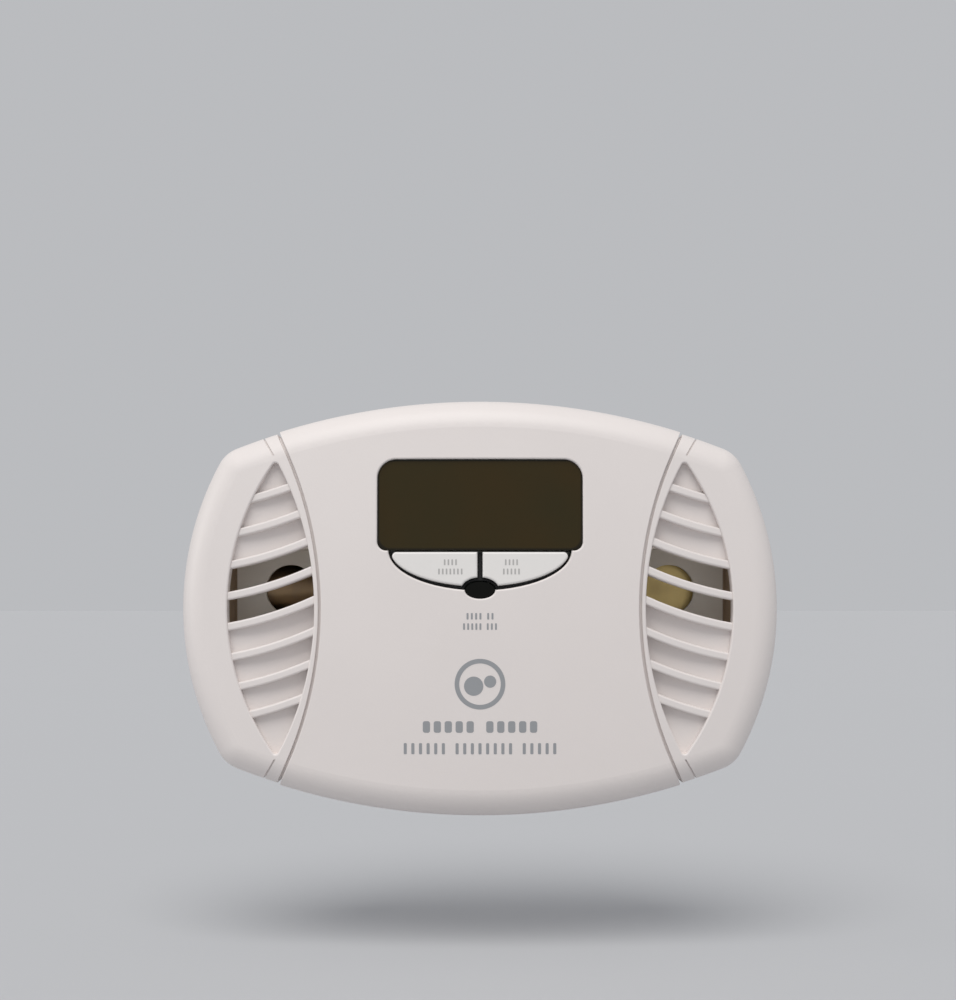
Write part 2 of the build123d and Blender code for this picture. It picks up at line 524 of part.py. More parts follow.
def axial_part(x, z, depth, radius, length, across):
    """A part on two bent leads; across is True when it lies along X."""
    half = length / 2
    if across:
        body = cross_rod(x - half, x + half, depth, z, radius)
        legs = [rod(x + i * (half - 0.7), z, 0.4, depth, BOARD_BACK) for i in (-1, 1)]
    else:
        body = Pos(x, -depth, z) * Cylinder(radius, length)
        legs = [rod(x, z + i * (half - 0.7), 0.4, depth, BOARD_BACK) for i in (-1, 1)]
    return body + legs


def varistor():
    """A coated disc standing on two leads."""
    disc = Pos(18, -14.6, 33.8) * Cylinder(4.4, 3.0)
    disc = fillet(disc.edges(), 1.0)
    return disc + rod(15.5, 33.8, 0.4, 14.6, BOARD_BACK) + rod(20.5, 33.8, 0.4, 14.6, BOARD_BACK)


def boost_inductor():
    """A drum core with its winding recessed between two flanges."""
    drum = rod(22, 4.5, 4.5, 12.5, BOARD_BACK)
    waist = rod(22, 4.5, 6, 14.0, 18.4) - rod(22, 4.5, 3.9, 13, 19)
    return drum - waist


# ---- gas sensor, horn and their chambers --------------------------------------
def chamber():
    """The left chamber behind the open slots, with a round port in its rear wall."""
    x_low, x_high = -CHAMBER_X[1], -CHAMBER_X[0]
    front = LEAF_FLOOR - FLOOR_THICK
    outer = block(x_low, x_high, CHAMBER_LOW, CHAMBER_HIGH, CHAMBER_BACK, front)
    outer = fillet(outer.edges().filter_by(Axis.Y), 1.5)
    wall = CHAMBER_WALL
    inner = block(x_low + wall, x_high - wall, CHAMBER_LOW + wall, CHAMBER_HIGH - wall,
                  CHAMBER_BACK + 2, front + 1)
    return outer - inner - rod(-PORT_X, PORT_Z, PORT_RADIUS, CHAMBER_BACK - 1, CHAMBER_BACK + 3)


def sensor_can():
    """The electrochemical sensor's steel can with a rolled groove near its cap."""
    can = cross_rod(-60, -35.0, SENSOR_DEPTH, PORT_Z, SENSOR_RADIUS)
    can = fillet(can.edges().sort_by(Axis.X)[0], 0.8)
    ring = cross_rod(-38.6, -37.6, SENSOR_DEPTH, PORT_Z, SENSOR_RADIUS + 1)
    ring = ring - cross_rod(-39, -37, SENSOR_DEPTH, PORT_Z, SENSOR_RADIUS - 0.6)
    return can - ring


def sensor_cap():
    """The insulated cap on the sensor's inner end."""
    return cross_rod(-35.0, -33.6, SENSOR_DEPTH, PORT_Z, 6.0)


def sensor_leads():
    """Two flat leads from the sensor up to the board, one from the cap and one from the can."""
    pin = block(-33.6, -33.2, PORT_Z - 1, PORT_Z + 1, 8.4, BOARD_BACK)
    strap = block(-36.0, -35.4, PORT_Z + 1.6, PORT_Z + 4.0, 14.0, BOARD_BACK)
    return [pin, strap - cross_rod(-40, -30, SENSOR_DEPTH, PORT_Z, SENSOR_RADIUS)]


def horn_body():
    """The horn's round cup, open at the front."""
    cup = rod(HORN_X, HORN_Z, HORN_RADIUS, HORN_BACK, CHAMBER_BACK)
    cup = fillet(cup.edges().sort_by(Axis.Y)[-1], 0.8)
    cup = cup - rod(HORN_X, HORN_Z, 12.8, 13.2, CHAMBER_BACK + 1)
    return cup - rod(HORN_X, HORN_Z, 11.6, HORN_BACK + 1.4, 15)


def wire(points, radius, bend):
    """A round wire through points given as X, depth and Z."""
    path = FilletPolyline(*[(x, -depth, z) for x, depth, z in points], radius=bend)
    start = Plane(origin=path @ 0, z_dir=path % 0)
    return sweep(start * Circle(radius), path)


# ---- cells and their contacts -------------------------------------------------
def cell(row, side):
    """An AA cell whose positive end points to a side, -1 or 1."""
    z = CELL_Z[row]
    tip = side * 27.4
    shoulder = tip - side * 1.2
    base = tip - side * CELL_LENGTH
    low, high = sorted((base, shoulder))
    body = cross_rod(low, high, CELL_DEPTH, z, CELL_RADIUS)
    body = fillet(body.edges().filter_by(GeomType.CIRCLE), 0.5)
    low, high = sorted((shoulder - side * 0.5, tip))
    return body + cross_rod(low, high, CELL_DEPTH, z, 2.75)


def contact_plate(side, z_low, z_high):
    """A flat contact against one end of the battery bay."""
    low, high = sorted((side * 28.0, side * 28.4))
    return block(low, high, z_low, z_high, 4.6, 16.0)


def contact_bump(side, row):
    """The raised disc that touches a cell's positive end."""
    low, high = sorted((side * 27.4, side * 28.1))
    return cross_rod(low, high, CELL_DEPTH, CELL_Z[row], 2.2)


def contact_spring(side, row):
    """The compressed spring between a contact and a cell's negative end."""
    coil = Helix(pitch=1.35, height=4.25, radius=4.2)
    wire_face = Plane(origin=coil @ 0, z_dir=coil % 0) * Circle(0.4)
    spring = Rot(0, -90 * side, 0) * sweep(wire_face, coil)
    return Pos(side * 27.75, -CELL_DEPTH, CELL_Z[row]) * spring


def contact_tab(row):
    """The tab that leaves the bay on the right and bears on the board's back."""
    return block(28.0, 28.4, CELL_Z[row] - 1.5, CELL_Z[row] + 1.5, 15.0, BOARD_BACK)


# ---- nodes ----------------------------------------------------------------------
def nodes():
    """Every piece, by its name."""
    core, bobbin = transformer()
    neutral_x, line_x = -BLADE_SPACING / 2, BLADE_SPACING / 2
    chambers = chamber()
    wires = {x: wire([(x, BLADE_IN, PLUG_Z), (x, 16.6, PLUG_Z), (x, 16.6, 8.0), (x, BOARD_BACK, 8.0)],
                     0.9, 1.5) for x in (neutral_x, line_x)}
    horn_wires = [wire([(36.2, CHAMBER_BACK, z), (36.2, 18.5, z), (33.5, 18.5, z), (33.5, BOARD_BACK, z)],
                       0.5, 0.6) for z in (2.9, 5.9)]
    diodes = [axial_part(x, 28.0, 18.4, 1.15, 4.4, False) for x in (-6, -2, 2, 6)]
    cans = [electrolytic(-20.5, 20, 4.0, 12.0), electrolytic(-30, 20, 4.0, 12.0)]
    case_screws = [screw(x, z, 3.4, 2.75, 2.0, 1.45, 22.0) for x, z in CASE_SCREWS]
    board_screws = [screw(x, z, BOARD_BACK, 2.2, 1.6, 1.0, 8.0) for x, z in BOARD_SCREWS]
    labels = [rounded_block(x, z, w, h, 0.05, 0.2, 1.0) for x, z, w, h in LABELS]
    bridge = contact_plate(-1, -33.5, -7.5) + contact_bump(-1, 1) + contact_spring(-1, 0)
    positive = contact_plate(1, -17.9, -7.9) + contact_bump(1, 0) + contact_tab(0)
    negative = contact_plate(1, -33.1, -23.1) + contact_spring(1, 1) + contact_tab(1)
    return {
        "front_cover": front_cover(),
        "display_lens": display_lens(),
        "test_silence_button": button(-1),
        "peak_level_button": mirrored(button(-1)),
        "button_seal": button_seal(),
        "indicator_lens": indicator_lens(),
        "rear_housing": rear_housing(),
        "battery_door": battery_door(),
        "plug_insert": plug_insert(),
        "neutral_blade": plug_blade(-1, NEUTRAL_WIDTH),
        "line_blade": plug_blade(1, LINE_WIDTH),
        "case_screws": Part() + case_screws,
        "board_screws": Part() + board_screws,
        "circuit_board": circuit_board(),
        "display_holder": display_holder(),
        "lcd_glass": lcd_glass(),
        "lcd_backlight": block(-23.8, 23.8, 15.4, 35.8, 29.5, 31.9),
        "zebra_strip": block(-22, 22, 12.6, 14.2, BOARD_FRONT, GLASS_BACK),
        "test_switch_body": tact_switch(-1),
        "test_switch_plunger": switch_plunger(-1),
        "peak_switch_body": tact_switch(1),
        "peak_switch_plunger": switch_plunger(1),
        "status_led": status_led(),
        "microcontroller": leaded_chip(-18, -12, 7.0, 7.0, 1.4, 8, 0.8, False),
        "driver_chip": leaded_chip(12, -10, 3.9, 5.0, 1.5, 4, 1.27, False),
        "chip_components": Part() + chip_components(),
        "sensor_chamber": chambers,
        "horn_chamber": mirrored(chambers),
        "sensor_can": sensor_can(),
        "sensor_cap": sensor_cap(),
        "sensor_leads": Part() + sensor_leads(),
        "horn_body": horn_body(),
        "horn_disc": rod(HORN_X, HORN_Z, 12.7, 13.2, 13.45),
        "horn_ceramic": rod(HORN_X, HORN_Z, 9.5, 13.0, 13.2),
        "horn_wires": Part() + horn_wires,
        "transformer_core": core,
        "transformer_bobbin": bobbin,
        "film_capacitor": film_capacitor(),
        "electrolytic_capacitors": Part() + cans,
        "varistor": varistor(),
        "fuse": axial_part(-8.0, 33.5, 16.5, 1.8, 10.0, True),
        "rectifier_diodes": Part() + diodes,
        "boost_inductor": boost_inductor(),
        "neutral_wire": wires[neutral_x],
        "line_wire": wires[line_x],
        "upper_cell": cell(0, 1),
        "lower_cell": cell(1, -1),
        "bridge_contact": bridge,
        "positive_contact": positive,
        "negative_contact": negative,
        "rating_label": labels[0],
        "date_label": labels[1],
    }


os.makedirs("parts", exist_ok=True)
for name, shape in nodes().items():
    export_step(shape, f"parts/{name}.step")
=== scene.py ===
"""Visual model of a plug-in carbon monoxide alarm with a digital display.

Metres. +X is right and +Z is up, seen from the front, and the front faces -Y. The origin is on
the flat back face that rests on the outlet's cover plate.
"""

from __future__ import annotations

import logging
import math
from dataclasses import dataclass, field
from enum import Enum
from typing import Any, Callable, Protocol, Sequence

import bmesh
import bpy
from mathutils import Matrix, Vector

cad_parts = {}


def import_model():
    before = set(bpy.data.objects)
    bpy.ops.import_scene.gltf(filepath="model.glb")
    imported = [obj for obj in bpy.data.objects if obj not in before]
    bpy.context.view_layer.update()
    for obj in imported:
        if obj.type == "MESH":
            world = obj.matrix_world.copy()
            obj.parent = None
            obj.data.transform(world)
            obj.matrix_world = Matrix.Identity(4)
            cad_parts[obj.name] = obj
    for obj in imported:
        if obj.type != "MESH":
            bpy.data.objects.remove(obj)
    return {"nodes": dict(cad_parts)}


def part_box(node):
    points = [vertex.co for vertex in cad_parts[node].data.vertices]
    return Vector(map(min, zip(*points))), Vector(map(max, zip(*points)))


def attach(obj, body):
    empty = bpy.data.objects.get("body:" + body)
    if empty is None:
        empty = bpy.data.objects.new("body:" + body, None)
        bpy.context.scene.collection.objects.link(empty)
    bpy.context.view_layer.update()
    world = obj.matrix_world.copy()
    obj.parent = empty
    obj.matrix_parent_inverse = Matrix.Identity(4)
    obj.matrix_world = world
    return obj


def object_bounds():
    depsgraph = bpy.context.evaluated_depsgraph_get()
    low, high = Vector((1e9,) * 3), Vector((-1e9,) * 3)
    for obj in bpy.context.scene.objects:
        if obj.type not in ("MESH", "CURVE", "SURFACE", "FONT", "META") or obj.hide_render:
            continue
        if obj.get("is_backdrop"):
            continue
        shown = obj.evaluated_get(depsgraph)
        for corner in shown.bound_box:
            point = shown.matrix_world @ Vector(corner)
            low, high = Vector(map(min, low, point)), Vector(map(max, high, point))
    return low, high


LOG = logging.getLogger("alarm")
MM = 0.001

Colour = tuple[float, float, float]


def linear(red: int, green: int, blue: int) -> Colour:
    """Turn a display colour into the linear values that shaders use.

    Args:
        red: Red, from 0 to 255.
        green: Green, from 0 to 255.
        blue: Blue, from 0 to 255.

    Returns:
        The linear colour.
    """

    def channel(value: int) -> float:
        """Turn one channel into its linear value."""
        level = value / 255
        return level / 12.92 if level <= 0.04045 else ((level + 0.055) / 1.055) ** 2.4

    return (channel(red), channel(green), channel(blue))


class Axis(Enum):
    """A coordinate axis, by its index."""

    X = 0
    Y = 1
    Z = 2


# ---- shader expressions ------------------------------------------------------------


class Signal:
    """A shader value on which Python's operators add Math nodes.

    Args:
        graph: The graph that the value is in.
        socket: The output socket that carries the value.
    """

    def __init__(self, graph: Graph, socket: bpy.types.NodeSocket) -> None:
        """Keep the graph and the socket."""
        self.graph = graph
        self.socket = socket

    def _math(self, operation: str, *values: Signal | float) -> Signal:
        """Add a Math node over some values."""
        inputs = dict(enumerate(values))
        return self.graph.node("ShaderNodeMath", {"operation": operation}, inputs)

    def __add__(self, other: Signal | float) -> Signal:
        """Add a value."""
        return self._math("ADD", self, other)

    def __radd__(self, other: float) -> Signal:
        """Add this to a number."""
        return self._math("ADD", other, self)

    def __sub__(self, other: Signal | float) -> Signal:
        """Subtract a value."""
        return self._math("SUBTRACT", self, other)

    def __rsub__(self, other: float) -> Signal:
        """Subtract this from a number."""
        return self._math("SUBTRACT", other, self)

    def __mul__(self, other: Signal | float) -> Signal:
        """Multiply by a value."""
        return self._math("MULTIPLY", self, other)

    def __rmul__(self, other: float) -> Signal:
        """Multiply a number by this."""
        return self._math("MULTIPLY", other, self)

    def __abs__(self) -> Signal:
        """Drop the sign."""
        return self._math("ABSOLUTE", self)

    def larger(self, other: Signal | float) -> Signal:
        """Take the larger of two values."""
        return self._math("MAXIMUM", self, other)

    def root(self) -> Signal:
        """Take the square root."""
        return self._math("SQRT", self)

    def wave(self) -> Signal:
        """Take the sine."""
        return self._math("SINE", self)

    def above(self, level: float, soft: float) -> Signal:
        """Make a mask that is 1 where the value is above a level.

        Args:
            level: The level in the middle of the step.
            soft: The width of the step.

        Returns:
            The mask, from 0 to 1.
        """
        inputs = {"Value": self, "From Min": level - soft / 2, "From Max": level + soft / 2}
        return self.graph.node("ShaderNodeMapRange", {"interpolation_type": "SMOOTHSTEP"}, inputs)

    def below(self, level: float, soft: float) -> Signal:
        """Make a mask that is 1 where the value is below a level."""
        return 1 - self.above(level, soft)


class Graph:
    """One material's nodes.

    Args:
        name: The material's name.
    """

    def __init__(self, name: str) -> None:
        """Make an empty material with a Principled shader."""
        self.material = bpy.data.materials.new(name)
        self.material.use_nodes = True
        self.tree = self.material.node_tree
        self.tree.nodes.clear()
        self.shader = self.tree.nodes.new("ShaderNodeBsdfPrincipled")
        output = self.tree.nodes.new("ShaderNodeOutputMaterial")
        self.tree.links.new(self.shader.outputs[0], output.inputs[0])
        self._place: Signal | None = None

    def _feed(self, node: bpy.types.Node, key: str | int, value: Any) -> None:
        """Set or link one input of a node."""
        socket = node.inputs[key]
        if isinstance(value, Signal):
            self.tree.links.new(value.socket, socket)
        elif isinstance(value, tuple) and len(value) == 3 and socket.type == "RGBA":
            socket.default_value = (*value, 1.0)
        else:
            socket.default_value = value

    def node(
        self,
        kind: str,
        settings: dict[str, Any] | None = None,
        inputs: dict[str | int, Any] | None = None,
        output: str | int = 0,
    ) -> Signal:
        """Add a node.

        Args:
            kind: The node's type.
            settings: Properties to set first; "stops" holds a ramp's positions and colours.
            inputs: Values or signals by socket.
            output: The output socket to return.

        Returns:
            The output as a signal.
        """
        node = self.tree.nodes.new(kind)
        for name, value in (settings or {}).items():
            if name == "stops":
                ramp = node.color_ramp
                while len(ramp.elements) < len(value):
                    ramp.elements.new(0.5)
                for element, (position, colour) in zip(ramp.elements, value):
                    element.position = position
                    element.color = (*colour, 1.0)
            else:
                setattr(node, name, value)
        for key, value in (inputs or {}).items():
            self._feed(node, key, value)
        return Signal(self, node.outputs[output])

    def place(self) -> Signal:
        """Return the Object coordinates."""
        if self._place is None:
            self._place = self.node("ShaderNodeTexCoord", output="Object")
        return self._place

    def along(self, axis: Axis) -> Signal:
        """Return one Object coordinate."""
        return self.node("ShaderNodeSeparateXYZ", inputs={0: self.place()}, output=axis.value)

    def noise(self, size: float, detail: float = 2.0, stretch: Vector | None = None) -> Signal:
        """Add a noise pattern.

        Args:
            size: The size of its features in metres.
            detail: The number of finer layers.
            stretch: How much longer the features are along each axis.

        Returns:
            The pattern, from 0 to 1.
        """
        where = self.place()
        if stretch is not None:
            scale = tuple(1 / s for s in stretch)
            where = self.node("ShaderNodeMapping", inputs={"Vector": where, "Scale": scale})
        inputs = {"Vector": where, "Scale": 1 / size, "Detail": detail}
        return self.node("ShaderNodeTexNoise", {"normalize": True}, inputs)

    def cells(self, size: float) -> Signal:
        """Add a cell pattern of the distance to each cell's centre."""
        inputs = {"Vector": self.place(), "Scale": 1 / size}
        return self.node("ShaderNodeTexVoronoi", {"feature": "F1"}, inputs, "Distance")

    def mix(self, factor: Signal | float, first: Any, second: Any) -> Signal:
        """Mix two colours by a factor."""
        node = self.tree.nodes.new("ShaderNodeMix")
        node.data_type = "RGBA"
        for index, value in ((0, factor), (6, first), (7, second)):
            self._feed(node, index, value)
        return Signal(self, node.outputs[2])

    def relief(self, height: Signal, depth: float, strength: float = 1.0) -> Signal:
        """Turn a height from 0 to 1 into a bumped normal, with its depth in metres."""
        inputs = {"Strength": strength, "Distance": depth, "Height": height}
        return self.node("ShaderNodeBump", inputs=inputs)

    def finish(self, **values: Any) -> bpy.types.Material:
        """Feed the shader's sockets, named with underscores for spaces.

        Args:
            **values: A value or signal for each socket.

        Returns:
            The finished material.
        """
        for name, value in values.items():
            self._feed(self.shader, name.replace("_", " ").title().replace("Ior", "IOR"), value)
        return self.material


# ---- finishes ------------------------------------------------------------------------


class Finish(Protocol):
    """What every finish has: a name, and a method that builds its material."""

    name: str

    def make(self) -> bpy.types.Material:
        """Build the material."""


@dataclass(frozen=True)
class Moulded:
    """Moulded plastic with a fine spark-eroded grain and faint flow mottling."""

    name: str
    colour: Colour
    roughness: float = 0.45
    grain: float = 0.35 * MM
    grain_depth: float = 0.012 * MM
    mottle: float = 0.03

    def make(self) -> bpy.types.Material:
        """Build the material."""
        graph = Graph(self.name)
        flow = graph.noise(22 * MM, 3.0)
        grain = graph.noise(self.grain, 2.5)
        speck = graph.cells(self.grain * 1.7)
        dark = tuple(c * (1 - self.mottle) for c in self.colour)
        light = tuple(min(1.0, c * (1 + self.mottle)) for c in self.colour)
        colour = graph.mix(flow * 0.75 + grain * 0.25, dark, light)
        roughness = self.roughness - 0.05 + grain * 0.06 + flow * 0.04
        height = grain * 0.7 + speck * 0.3
        return graph.finish(
            base_color=colour,
            roughness=roughness,
            normal=graph.relief(height, self.grain_depth),
        )


@dataclass(frozen=True)
class WallShaded:
    """Smooth pale plastic, with painted shade as a brown, grained strip on each chamber's outer
    side wall.
    """

    name: str
    colour: Colour
    painted_shade: Colour
    strip_start: float = 59.4 * MM
    shade_grain: float = 0.25 * MM

    def make(self) -> bpy.types.Material:
        """Build the material."""
        graph = Graph(self.name)
        shade_grain = graph.noise(self.shade_grain, 3.0)
        # Painted shade: beyond this X on either side, the chambers' outer side walls are brown.
        strip = abs(graph.along(Axis.X)).above(self.strip_start, 0.2 * MM)
        painted_shade = graph.mix(shade_grain, tuple(c * 0.75 for c in self.painted_shade), self.painted_shade)
        return graph.finish(
            base_color=graph.mix(strip, self.colour, painted_shade),
            roughness=0.5 + strip * 0.4,
            normal=graph.relief(shade_grain * strip, 0.08 * MM),
        )


@dataclass(frozen=True)
class Sheen:
    """Smooth glossy plastic or lacquer with a faint ripple."""

    name: str
    colour: Colour
    roughness: float = 0.12
    ripple: float = 6 * MM
    ripple_depth: float = 0.02 * MM
    coat: float = 0.5
    specular: float = 0.5

    def make(self) -> bpy.types.Material:
        """Build the material."""
        graph = Graph(self.name)
        ripple = graph.noise(self.ripple, 1.0)
        dust = graph.noise(0.5 * MM, 3.0).above(0.72, 0.1)
        colour = graph.mix(dust * 0.15, self.colour, tuple(min(1.0, c + 0.05) for c in self.colour))
        return graph.finish(
            base_color=colour,
            roughness=self.roughness + dust * 0.12,
            normal=graph.relief(ripple, self.ripple_depth),
            coat_weight=self.coat,
            coat_roughness=0.06,
            specular_ior_level=self.specular,
        )


@dataclass(frozen=True)
class Metal:
    """Rolled, drawn or plated metal, with its brushing drawn out along an axis."""

    name: str
    colour: Colour
    roughness: float = 0.3
    brushed: Axis = Axis.Y
    length: float = 30.0
    tarnish: Colour = (0.35, 0.30, 0.24)
    tarnished: float = 0.12

    def make(self) -> bpy.types.Material:
        """Build the material."""
        graph = Graph(self.name)
        stretch = Vector((1.0, 1.0, 1.0))
        stretch[self.brushed.value] = self.length
        lines = graph.noise(0.12 * MM, 3.0, stretch)
        stain = graph.noise(4 * MM, 4.0).above(0.6, 0.35)
        colour = graph.mix(stain * self.tarnished, self.colour, self.tarnish)
        return graph.finish(
            base_color=graph.mix(lines * 0.25, colour, tuple(c * 0.8 for c in self.colour)),
            metallic=1.0 - stain * (self.tarnished * 0.5),
            roughness=self.roughness + lines * 0.12 + stain * 0.08,
            normal=graph.relief(lines, 0.006 * MM),
        )


@dataclass(frozen=True)
class SmokedWindow:
    """Dark tinted window, with painted shade as a darker band round its recessed edge, and the
    display's olive field inside.
    """

    name: str
    field_colour: Colour
    recess_shade_colour: Colour
    border: float = 0.45 * MM
    corner: float = 2.6 * MM
    flange: float = 1.6 * MM

    def make(self) -> bpy.types.Material:
        """Build the material."""
        graph = Graph(self.name)
        low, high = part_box("display_lens")
        edge = self.border + self.corner
        half_x = (high.x - low.x) / 2 - self.flange - edge
        half_z = (high.z - self.flange - low.z) / 2 - edge
        middle_z = (high.z - self.flange + low.z) / 2
        over_x = (abs(graph.along(Axis.X)) - half_x).larger(0.0)
        over_z = (abs(graph.along(Axis.Z) - middle_z) - half_z).larger(0.0)
        distance = (over_x * over_x + over_z * over_z).root()
        # Painted shade: outside this mask, the band round the window's edge takes the darker
        # colour.
        inside = distance.below(self.corner, 0.5 * MM)
        cloud = graph.noise(18 * MM, 2.0)
        warm = tuple(c * f for c, f in zip(self.field_colour, (1.18, 1.0, 0.82)))
        lit = graph.mix(cloud.above(0.5, 0.5), self.field_colour, warm)
        ripple = graph.noise(9 * MM, 1.0)
        return graph.finish(
            base_color=graph.mix(inside, self.recess_shade_colour, lit),
            roughness=0.10 + graph.noise(1.2 * MM, 3.0) * 0.05,
            normal=graph.relief(ripple, 0.01 * MM),
            specular_ior_level=0.22,
        )


@dataclass(frozen=True)
class Laminate:
    """Circuit board: green lacquer over copper tracks, with bare pads and a buff edge."""

    name: str
    lacquer: Colour = (0.012, 0.075, 0.022)
    track: Colour = (0.020, 0.125, 0.036)
    edge: Colour = (0.35, 0.31, 0.15)

    def make(self) -> bpy.types.Material:
        """Build the material."""
        graph = Graph(self.name)
        low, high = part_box("circuit_board")
        x, z = graph.along(Axis.X), graph.along(Axis.Z)
        bend = graph.noise(9 * MM, 0.0)
        rows = ((z + bend * (4 * MM)) * (2 * math.pi / (2.2 * MM))).wave().above(0.55, 0.12)
        columns = ((x + bend * (5 * MM)) * (2 * math.pi / (2.6 * MM))).wave().above(0.55, 0.12)
        choose = graph.noise(12 * MM, 0.0).above(0.5, 0.02)
        tracks = rows * choose + columns * (1 - choose)
        pads = graph.cells(2.9 * MM).below(0.17, 0.03)
        y = graph.along(Axis.Y)
        face = abs(y - (low.y + high.y) / 2).above((high.y - low.y) / 2 - 0.05 * MM, 0.05 * MM)
        colour = graph.mix(tracks, self.lacquer, self.track)
        colour = graph.mix(pads, colour, (0.55, 0.54, 0.52))
        return graph.finish(
            base_color=graph.mix(face, self.edge, colour),
            metallic=pads * face,
            roughness=0.55 - face * 0.2,
            normal=graph.relief(tracks.larger(pads), 0.035 * MM),
        )


@dataclass(frozen=True)
class Banded:
    """A sleeved round part with bands of colour along an axis."""

    name: str
    axis: Axis
    bands: tuple[tuple[float, Colour], ...]
    base: Colour
    roughness: float = 0.3
    bare_ends: tuple[float, float] | None = None
    bare: Colour = (0.62, 0.61, 0.58)

    def make(self) -> bpy.types.Material:
        """Build the material."""
        graph = Graph(self.name)
        along = graph.along(self.axis)
        scuff = graph.noise(1.5 * MM, 4.0)
        colour: Any = self.base
        for start, tint in self.bands:
            colour = graph.mix(along.above(start, 0.05 * MM), colour, tint)
        metallic: Signal | float = 0.0
        roughness: Signal | float = self.roughness + scuff * 0.12
        if self.bare_ends is not None:
            low, high = self.bare_ends
            ends = along.below(low, 0.05 * MM).larger(along.above(high, 0.05 * MM))
            colour = graph.mix(ends, colour, self.bare)
            metallic = ends
        shade = graph.mix(scuff * 0.2, colour, (0.02, 0.02, 0.02))
        return graph.finish(
            base_color=shade,
            metallic=metallic,
            roughness=roughness,
            normal=graph.relief(scuff, 0.01 * MM),
        )


@dataclass(frozen=True)
class Ferrite:
    """Sintered ferrite: dull, dark and finely pitted."""

    name: str
    colour: Colour = (0.030, 0.030, 0.033)

    def make(self) -> bpy.types.Material:
        """Build the material."""
        graph = Graph(self.name)
        pits = graph.cells(0.35 * MM)
        dust = graph.noise(0.8 * MM, 4.0)
        return graph.finish(
            base_color=graph.mix(dust, self.colour, tuple(c * 2.2 for c in self.colour)),
            roughness=0.55 + dust * 0.2,
            normal=graph.relief(pits, 0.03 * MM),
        )


@dataclass(frozen=True)
class Wound:
    """Turns of tape or lacquered wire, seen as fine ridges along an axis, with painted shade in the
    grooves between them.
    """

    name: str
    colour: Colour
    axis: Axis
    pitch: float
    roughness: float = 0.35
    metallic: float = 0.0

    def make(self) -> bpy.types.Material:
        """Build the material."""
        graph = Graph(self.name)
        ridge = (graph.along(self.axis) * (2 * math.pi / self.pitch)).wave() * 0.5 + 0.5
        stain = graph.noise(3 * MM, 3.0)
        # Painted shade: the grooves between turns are darker; on the display's conductive connector
        # the dark layers are real as well.
        groove_shade = tuple(c * 0.6 for c in self.colour)
        colour = graph.mix(ridge * 0.5 + stain * 0.3, groove_shade, self.colour)
        return graph.finish(
            base_color=colour,
            metallic=self.metallic,
            roughness=self.roughness + stain * 0.1,
            normal=graph.relief(ridge, self.pitch * 0.3),
        )


@dataclass(frozen=True)
class Clear:
    """Clear glass or epoxy with a tint."""

    name: str
    colour: Colour
    alpha: float
    roughness: float = 0.06

    def make(self) -> bpy.types.Material:
        """Build the material."""
        graph = Graph(self.name)
        smear = graph.noise(7 * MM, 3.0)
        return graph.finish(
            base_color=graph.mix(smear * 0.2, self.colour, tuple(c * 0.7 for c in self.colour)),
            alpha=self.alpha + smear * 0.05,
            roughness=self.roughness + smear * 0.06,
            normal=graph.relief(smear, 0.01 * MM),
        )


# ---- geometry helpers ---------------------------------------------------------------


Surface = Callable[[float, float], float]


@dataclass
class Piece:
    """Builds one mesh object in a bmesh, and hands it to a body of the frame."""

    name: str
    body: str
    material: bpy.types.Material
    slot: str
    mesh: bmesh.types.BMesh = field(default_factory=bmesh.new)

    def done(self) -> None:
        """Turn the bmesh into an object that rides on its body."""
        bmesh.ops.recalc_face_normals(self.mesh, faces=self.mesh.faces[:])
        data = bpy.data.meshes.new(self.name)
        self.mesh.to_mesh(data)
        self.mesh.free()
        for polygon in data.polygons:
            polygon.use_smooth = False
        data.materials.append(self.material)
        piece = bpy.data.objects.new(self.name, data)
        bpy.context.scene.collection.objects.link(piece)
        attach(piece, self.body)
        LOG.info("piece %s: %d faces, on %s", self.name, len(data.polygons), self.body)


@dataclass(frozen=True)
class Row:
    """A row of ticks that stands in for a line of words.

    Args:
        counts: The number of ticks in each group.
        cell: The pitch of the ticks.
        height: The ticks' height.
        fill: A tick's width as a part of the pitch.
        space: The space between groups, in pitches.
        rounding: The corners' radius as a part of a tick's shorter side.
    """

    counts: Sequence[int]
    cell: float
    height: float
    fill: float
    space: float = 0.8
    rounding: float = 0.3


